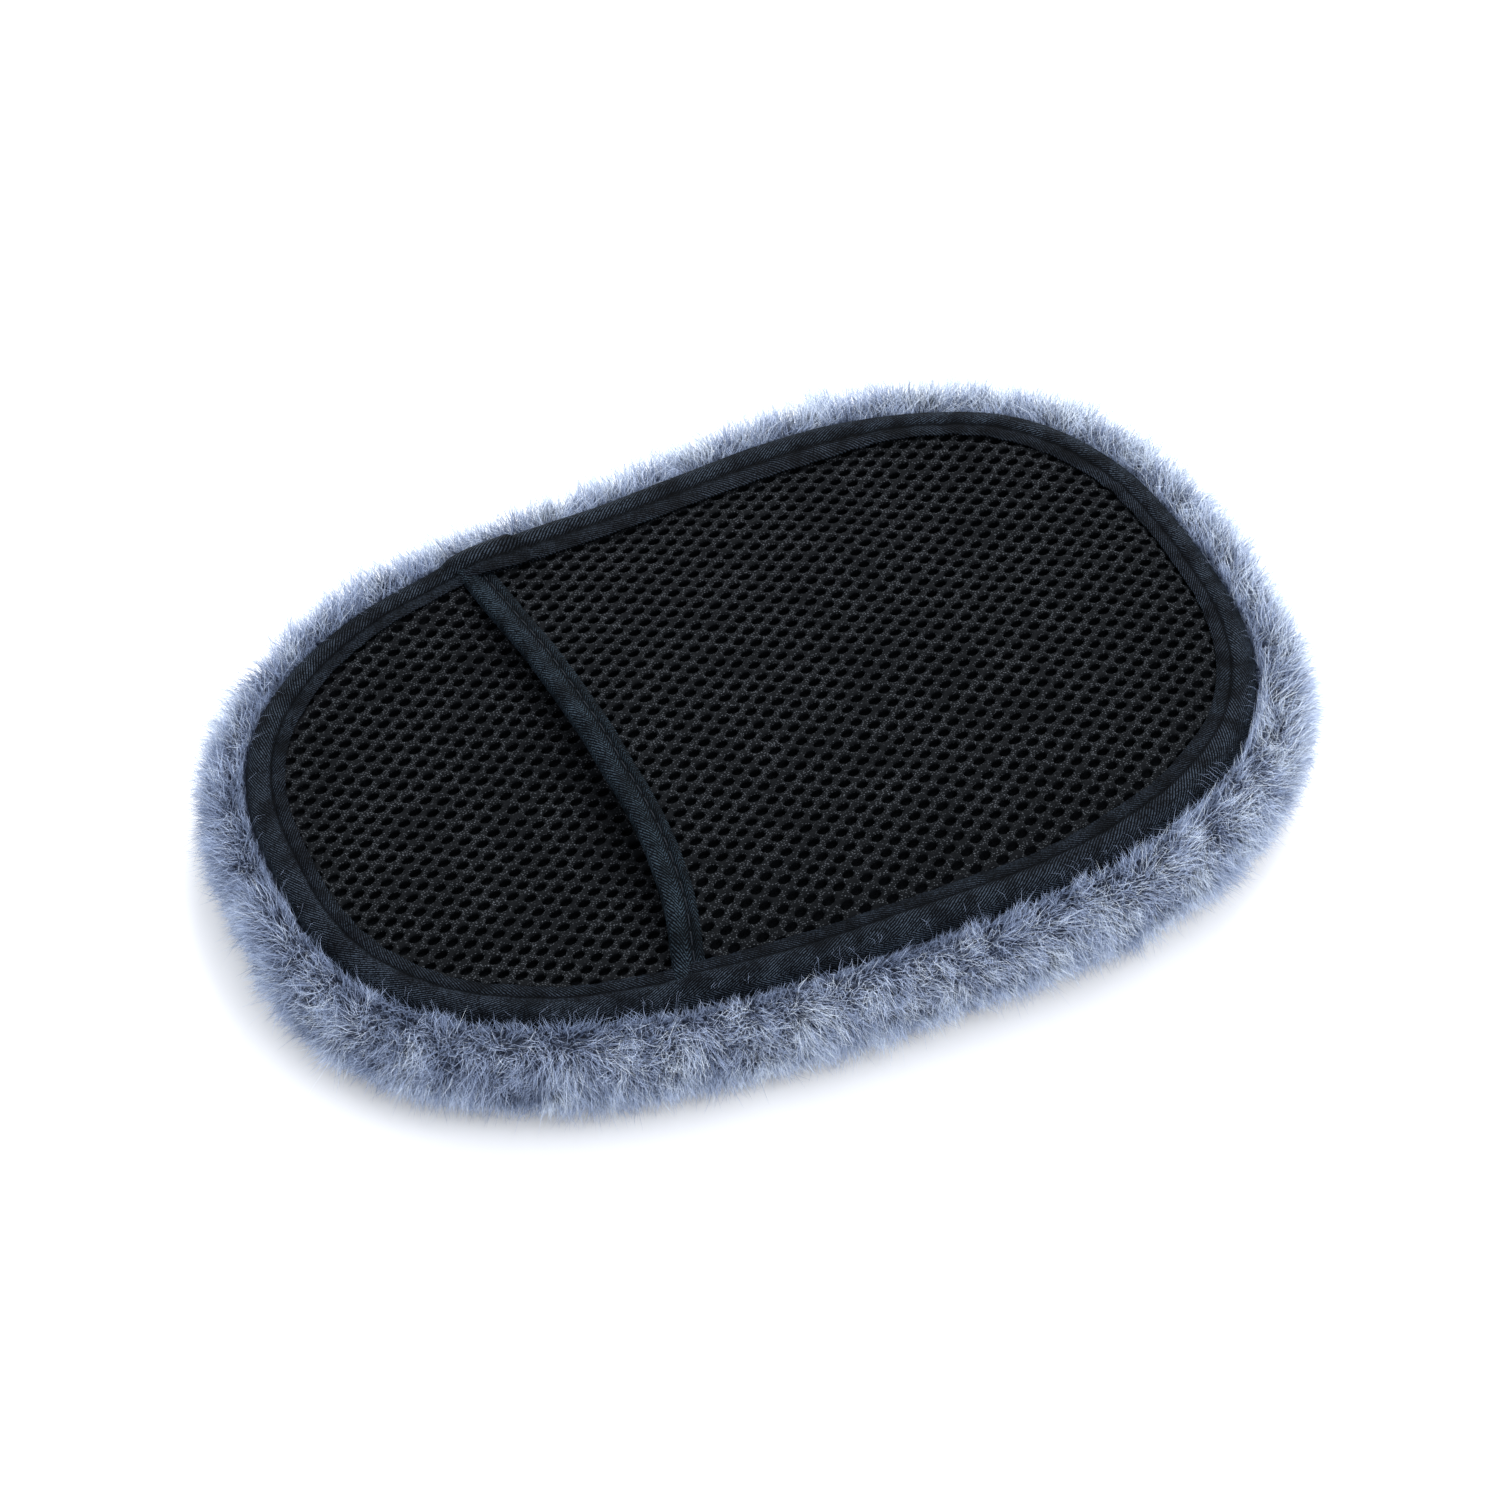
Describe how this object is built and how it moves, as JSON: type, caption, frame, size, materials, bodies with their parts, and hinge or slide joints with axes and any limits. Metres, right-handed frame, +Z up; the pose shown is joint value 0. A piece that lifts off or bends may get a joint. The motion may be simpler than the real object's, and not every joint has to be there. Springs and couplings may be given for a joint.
{
  "type": "wash mitt",
  "caption": "Oval sheepskin wash mitt with a deep wool pile below, a dark spacer-mesh back, a hand pocket with a taped mouth, and a sewn tape binding.",
  "frame": {"origin": "middle of the footprint, on the surface that the wool rests on", "axes": "+X along the mitt towards the pocket's closed end, +Y across it, +Z up from the wool to the mesh back"},
  "size_m": [0.263, 0.1804, 0.0406],
  "materials": {
    "wool": "soft matt sheepskin pile, dyed grey-blue",
    "hide": "suede side of a tanned sheepskin",
    "mesh": "knitted polyester spacer mesh with open holes",
    "binding": "herringbone webbing with a slight sheen",
    "thread": "twisted polyester sewing thread"
  },
  "bodies": {
    "pad": {"wool_pile": "wool", "sheepskin_hide": "hide", "base_mesh": "mesh", "pocket_seam": "mesh", "edge_tape": "binding", "edge_needle_thread": "thread", "edge_bobbin_thread": "thread"},
    "pocket": {"pocket_panel": "mesh", "mouth_tape": "binding", "mouth_needle_thread": "thread", "mouth_bobbin_thread": "thread"}
  },
  "joints": [
    {"name": "mouth_lift", "type": "hinge", "parent": "pad", "child": "pocket", "pos_m": [0.10727, 0, 0.03395], "axis": [0, 1, 0], "range_deg": [0, 14]}
  ]
}
